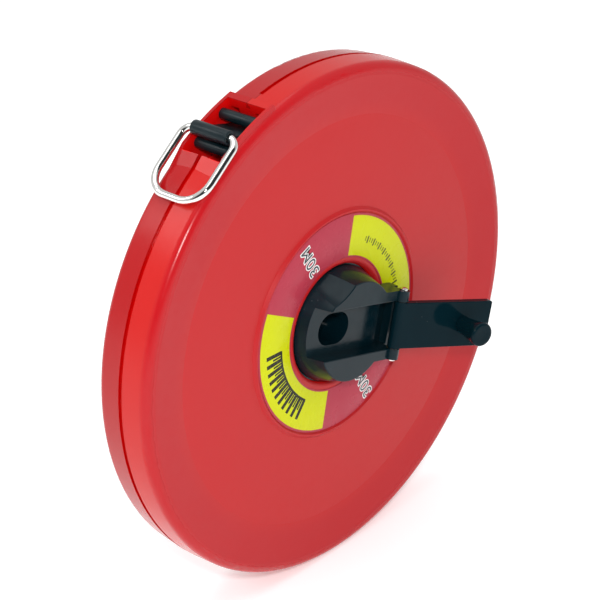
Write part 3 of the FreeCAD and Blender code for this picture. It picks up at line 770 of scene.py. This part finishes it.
sleeve_half = reach("tape_end_sleeve", bar_centre, Vector((0, 1, 0)))[1]
sleeve_radius = reach("tape_end_sleeve", bar_centre, Vector(joints["tape_pull"]["axis"]))[1]
sleeve_bore = wire_radius + 0.00005
sleeve_tube = [(sleeve_bore, -sleeve_half), (sleeve_radius, -sleeve_half),
               (sleeve_radius, sleeve_half), (sleeve_bore, sleeve_half)]
sleeve = new_piece("ring_sleeve", turned(sleeve_tube, bar_centre, along_axle, 56, 0.00028))
sleeve.data.materials.append(satin_black("sleeve_black_pvc", satin_shade, 0.28))
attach(sleeve, "tape_end")
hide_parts("tape_end_sleeve")

# ---------------------------------------------------------------- leader
# A stiff strip of black coated fabric, heat-cut to width, with woven threads that show through. It
# is bonded to the sleeve and overlaps the blade, which runs under it.

pull = Vector(joints["tape_pull"]["axis"]).normalized()
lift = pull.cross(Vector((0, 1, 0)))
strip_turn = Matrix((pull, lift.cross(pull), lift)).transposed().to_4x4()
strip_place = Matrix.Translation(bar_centre) @ strip_turn
leader_back = reach("tape_leader", bar_centre, pull)[0]
leader_under, leader_top = reach("tape_leader", bar_centre, lift)
tape_half = reach("tape_leader", bar_centre, Vector((0, 1, 0)))[1]


def strip(back, ahead, under, top, edge):
    """A flat strip along the pull of the tape, with its long edges eased."""
    shape = bmesh.new()
    bmesh.ops.create_cube(shape, size=1.0)
    bmesh.ops.scale(shape, verts=shape.verts, vec=(ahead - back, 2 * tape_half, top - under))
    middle = ((ahead + back) / 2, 0, (top + under) / 2)
    bmesh.ops.translate(shape, verts=shape.verts, vec=middle)
    bmesh.ops.bevel(shape, geom=shape.edges[:], offset=edge, segments=3, profile=0.5,
                    affect="EDGES", material=-1)
    bmesh.ops.transform(shape, matrix=strip_place, verts=shape.verts)
    return shape


def woven(name, fixed, shade, worn, pitch, depth):
    """A cloth-like finish: threads of a given pitch along and across the tape."""
    cloth = Finish(name, fixed)
    lengthwise = cloth.along(pull) * (math.tau / pitch)
    crosswise = cloth.along((0, 1, 0)) * (math.tau / pitch)
    warp = cloth.maths("SINE", crosswise)
    weft = cloth.maths("SINE", lengthwise)
    thread = warp * 0.5 + weft * 0.3
    cloud = cloth.noise(260.0, 4.0)
    cloth.feed({
        "Base Color": cloth.blend(cloth.remap(cloud, 0.4, 0.75), shade, worn),
        "Roughness": cloth.remap(cloud, 0.3, 0.7, 0.38, 0.55) + thread * 0.04,
        "Normal": cloth.bump(thread, depth, cloth.bump(cloud, 0.00002)),
    })
    return cloth


leader = new_piece("leader_strip", strip(leader_back, -sleeve_radius * 0.985, leader_under,
                                         leader_top, 0.00012))
leader_cloth = woven("leader_coated_cloth", {"Specular IOR Level": 0.26},
                     (0.0015, 0.0070, 0.0095, 1), (0.007, 0.013, 0.016, 1), 0.0008, 0.00003)
leader.data.materials.append(leader_cloth.material)
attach(leader, "tape_end")
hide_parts("tape_leader")

# ---------------------------------------------------------------- blade, straight run
# Glass-fibre yarns in yellow PVC, 12 mm wide. Marks at each 2 mm and each centimetre are printed in
# black along both edges, with a red line at each ten centimetres.

blade_back, blade_ahead = reach("tape_blade", bar_centre, pull)
blade_under, blade_top = reach("tape_blade", bar_centre, lift)
blade_yellow = (0.700, 0.560, 0.015, 1)
blade_worn = (0.560, 0.440, 0.030, 1)


def printed_blade():
    """Woven yellow PVC with marks along both edges at every 2, 10 and 100 mm."""
    pvc = woven("blade_yellow_pvc", {"Specular IOR Level": 0.35}, blade_yellow, blade_worn,
                0.0007, 0.00002)
    blank = pvc.shader.inputs["Base Color"].links[0].from_socket
    ahead = pvc.along(pull) - bar_centre.dot(pull) + 1.0
    from_edge = tape_half - abs(pvc.along((0, 1, 0)) - joint_plane)

    def marks(pitch, width, long):
        offset = abs(ahead % pitch - pitch / 2)
        return (offset < width / 2) * (from_edge < long)

    ink = pvc.maths("MAXIMUM", marks(0.002, 0.00030, 0.0016), marks(0.01, 0.0004, 0.0040))
    worn = pvc.remap(pvc.noise(1200.0, 4.0), 0.3, 0.5, 0.6, 1.0)
    colour = pvc.blend(ink * worn, Socket(pvc, blank), (0.012, 0.012, 0.012, 1))
    colour = pvc.blend(marks(0.1, 0.0008, 0.006) * worn, colour, (0.55, 0.010, 0.010, 1))
    pvc.feed({"Base Color": colour})
    return pvc.material


blade = new_piece("printed_blade", strip(blade_back, blade_ahead, blade_under, blade_top, 0.00008))
blade.data.materials.append(printed_blade())
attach(blade, "tape_end")
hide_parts("tape_blade")

# ---------------------------------------------------------------- leader rivets
# Three small rivets, nickel-plated brass, with a low round head on each side. They clamp the
# leader on the blade.

rivet_spots = ((-0.017, 0.003), (-0.017, -0.003), (-0.021, 0.0))
head_radius = 0.0012
head_rise = 0.00025
clamp_shank = 0.0006


def gather(group, one):
    """Add a finished shape to a group of shapes, and use it up."""
    single = bpy.data.meshes.new("one_of_a_group")
    one.to_mesh(single)
    one.free()
    group.from_mesh(single)
    bpy.data.meshes.remove(single)


rivets = bmesh.new()
for ahead, across in rivet_spots:
    spot = strip_place @ Vector((ahead, across, 0))
    upper = leader_top + head_rise
    lower = blade_under - head_rise
    profile = [(0, lower), (head_radius * 0.7, lower + head_rise * 0.25),
               (head_radius, blade_under), (clamp_shank, blade_under), (clamp_shank, leader_top),
               (head_radius, leader_top), (head_radius * 0.7, upper - head_rise * 0.25),
               (0, upper)]
    gather(rivets, turned(profile, spot, lift, 28))
clamps = new_piece("leader_clamp_rivets", rivets)
clamps.data.materials.append(bright_nickel)
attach(clamps, "tape_end")
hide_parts("leader_rivets")

# ---------------------------------------------------------------- wound blade
# Thirty metres of the same blade, wound on the drum. Its sides show the edges of the turns, a few
# of which in every group stand slightly proud of the others.

pack_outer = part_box("tape_pack")[1].x
drum_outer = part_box("spool_drum")[1].x
grimy_yellow = (0.40, 0.31, 0.03, 1)
blade_edge_pitch = 0.0004
group_step = 0.0008
proud = 0.00012
groups = int((pack_outer - drum_outer) / group_step)
side = []
for group in range(groups):
    inner = drum_outer + group * group_step
    side += [(inner, -tape_half + proud), (inner + group_step * 0.5, -tape_half)]
side.append((pack_outer, -tape_half + proud))
pack_outline = side + [(radius, -along) for radius, along in reversed(side)]
pack = new_piece("wound_blade", turned(pack_outline, reel_middle, along_axle, 128), 30.0)
edges = Finish("wound_blade_edges", {"Specular IOR Level": 0.3})
grime = edges.noise(90.0, 4.0)
winding = edges.maths("SINE", edges.radius() * (math.tau / blade_edge_pitch))
edges.feed({
    "Base Color": edges.blend(edges.remap(grime, 0.4, 0.8, 0.0, 0.5) + winding * 0.08,
                              blade_yellow, grimy_yellow),
    "Roughness": edges.remap(grime, 0.3, 0.7, 0.45, 0.6),
    "Normal": edges.bump(winding, 0.00004),
})
pack.data.materials.append(edges.material)
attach(pack, "reel")
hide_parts("tape_pack")

# ---------------------------------------------------------------- drum
# Moulded in pale nylon: a wall for the blade, a web, a bearing sleeve and six ribs. The crank hub
# is screwed to its web, and its sleeve turns on the case's axle boss.

drum_wall = 0.0222
web_front = 0.0010
web_back = -0.0002
bearing_bore = 0.00605
bearing_outer = 0.00865
bearing_end = -0.0056
rib_half = 0.0008
crank_turn = math.radians(-13.5)


def pale_nylon(name, shade, dirt):
    """A pale, slightly translucent moulding, dirtier in clouds."""
    nylon = Finish(name, {"Subsurface Weight": 0.1, "Subsurface Scale": 0.001,
                          "Specular IOR Level": 0.4})
    cloud = nylon.noise(60.0, 4.0)
    swirl = nylon.noise(700.0, 3.0)
    nylon.feed({
        "Base Color": nylon.blend(nylon.remap(cloud, 0.35, 0.8), shade, dirt),
        "Roughness": nylon.remap(swirl, 0.3, 0.7, 0.38, 0.5),
        "Normal": nylon.bump(swirl, 0.000008, nylon.bump(cloud, 0.00004)),
    })
    return nylon.material


drum_outline = [
    (0, web_front), (drum_wall, web_front), (drum_wall, tape_half), (drum_outer, tape_half),
    (drum_outer, -tape_half), (drum_wall, -tape_half), (drum_wall, web_back),
    (bearing_outer, web_back), (bearing_outer, bearing_end), (bearing_bore, bearing_end),
    (bearing_bore, web_back), (0, web_back)]
drum = new_piece("reel_drum", turned(drum_outline, reel_middle, along_axle, 96, 0.00018))
drum_nylon = pale_nylon("drum_pale_nylon", (0.72, 0.71, 0.66, 1), (0.60, 0.57, 0.49, 1))
drum.data.materials.append(drum_nylon)
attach(drum, "reel")
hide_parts("spool_drum")

ribs = bmesh.new()
for turn in range(6):
    rib = bmesh.ops.create_cube(ribs, size=1.0)["verts"]
    length = drum_wall - bearing_outer + 0.0003
    bmesh.ops.scale(ribs, verts=rib, vec=(length, web_back - bearing_end, 2 * rib_half))
    middle = ((drum_wall + bearing_outer) / 2, joint_plane - (web_back + bearing_end) / 2, 0)
    bmesh.ops.translate(ribs, verts=rib, vec=middle)
    spoke = Matrix.Rotation(-(crank_turn + turn * math.pi / 3), 4, "Y")
    bmesh.ops.transform(ribs, matrix=spoke, verts=rib)
bmesh.ops.bevel(ribs, geom=ribs.edges[:], offset=0.00015, segments=2, profile=0.5,
                affect="EDGES", material=-1)
spokes = new_piece("drum_ribs", ribs)
spokes.data.materials.append(drum_nylon)
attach(spokes, "reel")

# ---------------------------------------------------------------- friction washer
# A waxed white fibre ring between the drum's sleeve and the rear case half.

washer_low, washer_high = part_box("drum_washer")
washer_bore = 0.0063
washer_back = joint_plane - washer_high.y
washer_front = joint_plane - washer_low.y
washer_outline = [(washer_bore, washer_back), (washer_high.x, washer_back),
                  (washer_high.x, washer_front), (washer_bore, washer_front)]
washer = new_piece("fibre_washer", turned(washer_outline, reel_middle, along_axle, 64, 0.00008))
fibre = pale_nylon("waxed_fibre", (0.62, 0.55, 0.42, 1), (0.46, 0.38, 0.26, 1))
washer.data.materials.append(fibre)
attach(washer, "case")
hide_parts("drum_washer")

# ---------------------------------------------------------------- anchor pin
# A cropped steel pin, pushed across the drum's wall, that holds the looped inner end of the blade.

anchor_low, anchor_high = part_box("tape_anchor_pin")
anchor_radius = (anchor_high.x - anchor_low.x) / 2
anchor_half = (anchor_high.y - anchor_low.y) / 2
anchor_outline = [(0, -anchor_half), (anchor_radius, -anchor_half),
                  (anchor_radius, anchor_half), (0, anchor_half)]
anchor = new_piece("blade_anchor", turned(anchor_outline, (anchor_low + anchor_high) / 2,
                                          along_axle, 28, 0.00012))
anchor.data.materials.append(zinc)
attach(anchor, "reel")
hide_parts("tape_anchor_pin")

# ---------------------------------------------------------------- screws
# Zinc-plated cross-head screws with a cutting thread: four through the rear case half, and four
# from behind the drum's web into the hub.


def screw(base, axis, head_radius, head_height, shank_radius, length):
    """A cross-head screw. base is the outer middle of the head, and axis points to the tip."""
    shape = bmesh.new()
    slot, wing = head_radius * 0.16, head_radius * 0.56
    cross = [(wing, slot), (slot, slot), (slot, wing), (-slot, wing), (-slot, slot),
             (-wing, slot), (-wing, -slot), (-slot, -slot), (-slot, -wing), (slot, -wing),
             (slot, -slot), (wing, -slot)]
    corners = [shape.verts.new((x, y, 0)) for x, y in cross]
    rim = [shape.edges.new(pair) for pair in zip(corners, corners[1:] + corners[:1])]
    face_radius = head_radius * 0.72
    ring = bmesh.ops.create_circle(shape, cap_ends=False, segments=24, radius=face_radius)
    outer = list({line for vert in ring["verts"] for line in vert.link_edges})
    bmesh.ops.bridge_loops(shape, edges=rim + outer)

    floor = carry(shape, rim, (0, 0, head_height * 0.62), 0.62)
    bmesh.ops.edgeloop_fill(shape, edges=floor)
    core = shank_radius * 0.8
    steps = [(head_radius * 0.93, head_height * 0.22), (head_radius, head_height * 0.55),
             (head_radius, head_height), (core, head_height)]
    pitch = shank_radius * 0.85
    thread = head_height + pitch * 0.4
    while thread + pitch < length - shank_radius:
        steps += [(core, thread), (shank_radius, thread + pitch * 0.35),
                  (core, thread + pitch * 0.7)]
        thread += pitch
    steps += [(core, length - shank_radius), (shank_radius * 0.2, length)]
    radius, level = face_radius, 0.0
    for new_radius, new_level in steps:
        outer = carry(shape, outer, (0, 0, new_level - level), new_radius / radius)
        radius, level = new_radius, new_level
    bmesh.ops.edgeloop_fill(shape, edges=outer)
    bmesh.ops.recalc_face_normals(shape, faces=shape.faces)
    turn = Vector((0, 0, 1)).rotation_difference(axis).to_matrix().to_4x4()
    bmesh.ops.transform(shape, matrix=Matrix.Translation(base) @ turn, verts=shape.verts)
    return shape


def screw_set(name, node, body, spots, axis, head, shank_radius):
    """Like screws as one piece. head is the head's radius and height."""
    low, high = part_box(node)
    length = high.y - low.y
    group = bmesh.new()
    for x, z in spots:
        gather(group, screw(Vector((x, high.y, z)), axis, *head, shank_radius, length))
    screws = new_piece(name, group, 30.0)
    screws.data.materials.append(zinc)
    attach(screws, body)
    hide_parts(node)


screw_circle = 0.0675
case_turns = [math.radians(turn) for turn in (45, 165, 225, 315)]
case_spots = [(screw_circle * math.cos(turn), screw_circle * math.sin(turn)) for turn in case_turns]
screw_set("case_cross_screws", "case_screws", "case", case_spots, along_axle,
          (0.0028, 0.0018), 0.00145)
along_crank = Vector((math.cos(crank_turn), math.sin(crank_turn)))
across_crank = Vector((-math.sin(crank_turn), math.cos(crank_turn)))
hub_spots = [along_crank * x + across_crank * y
             for x, y in ((0.0095, 0.008), (0.0095, -0.008), (-0.0095, 0.008), (-0.0095, -0.008))]
screw_set("hub_cross_screws", "hub_screws", "reel", hub_spots, along_axle,
          (0.0023, 0.0015), 0.00125)
